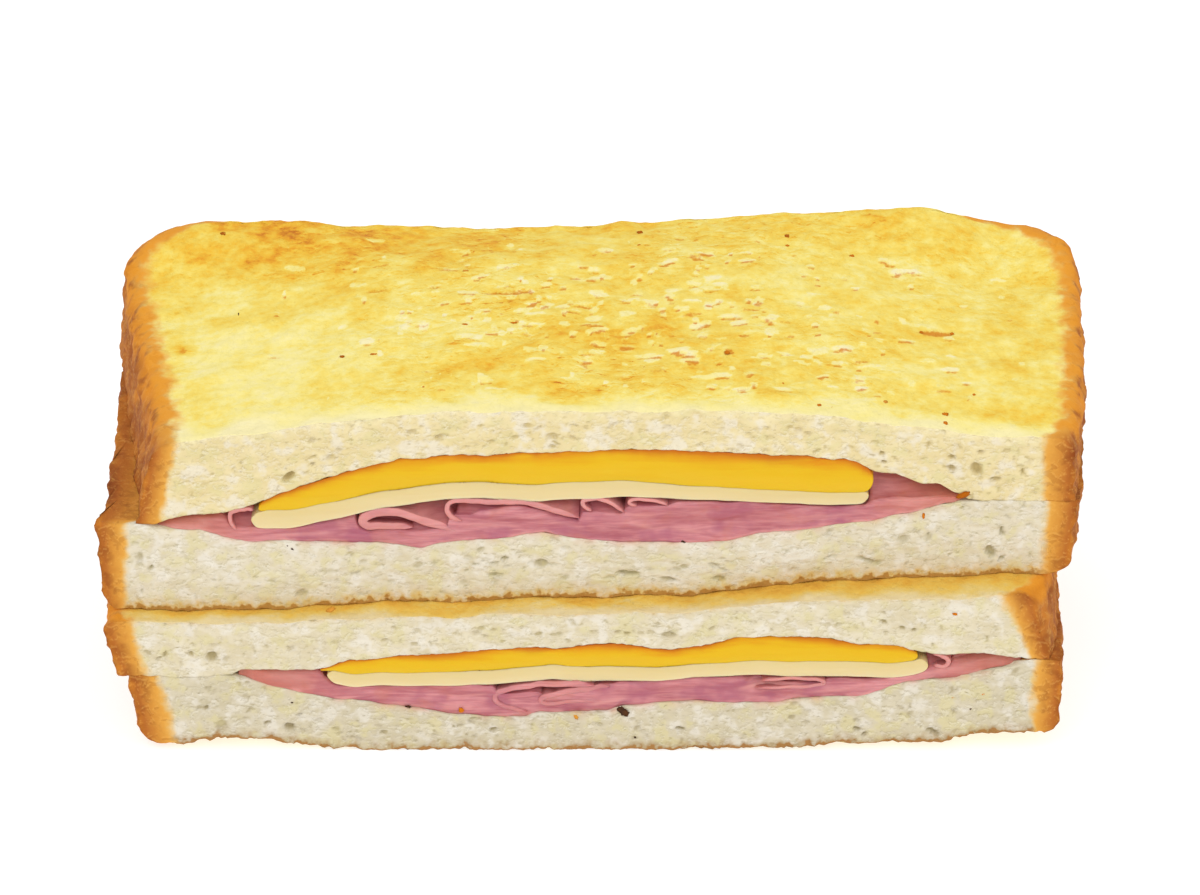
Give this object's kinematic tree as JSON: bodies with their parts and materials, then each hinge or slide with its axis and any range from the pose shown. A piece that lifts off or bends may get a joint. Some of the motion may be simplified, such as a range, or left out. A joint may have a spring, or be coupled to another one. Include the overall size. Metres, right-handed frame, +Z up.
{
  "type": "ham and cheese toastie",
  "caption": "Toasted sandwich of white bread with folded ham and sliced cheese, cut across the middle, its halves stacked with the cut faces to the front.",
  "frame": {"origin": "middle of the footprint, on the table that the toastie lies on", "axes": "+X to the right along the cut, +Y from the cut faces towards the back crust, +Z up"},
  "size_m": [0.1322, 0.0688, 0.0491],
  "materials": {
    "toasted_bread": "toasted crumb",
    "orange_cheese": "satin, waxy",
    "pale_cheese": "satin, waxy",
    "ham": "moist, satin"
  },
  "bodies": {
    "root": {"lower_bread_bottom": "toasted_bread", "lower_bread_top": "toasted_bread", "upper_bread_bottom": "toasted_bread", "upper_bread_top": "toasted_bread", "lower_cheese_pale": "pale_cheese", "lower_cheese_orange": "orange_cheese", "upper_cheese_pale": "pale_cheese", "upper_cheese_orange": "orange_cheese", "lower_ham_bed": "ham", "lower_ham_left": "ham", "lower_ham_middle": "ham", "lower_ham_right": "ham", "lower_ham_curl": "ham", "upper_ham_bed": "ham", "upper_ham_curl": "ham", "upper_ham_first": "ham", "upper_ham_second": "ham", "upper_ham_third": "ham", "upper_ham_fourth": "ham"}
  },
  "joints": []
}
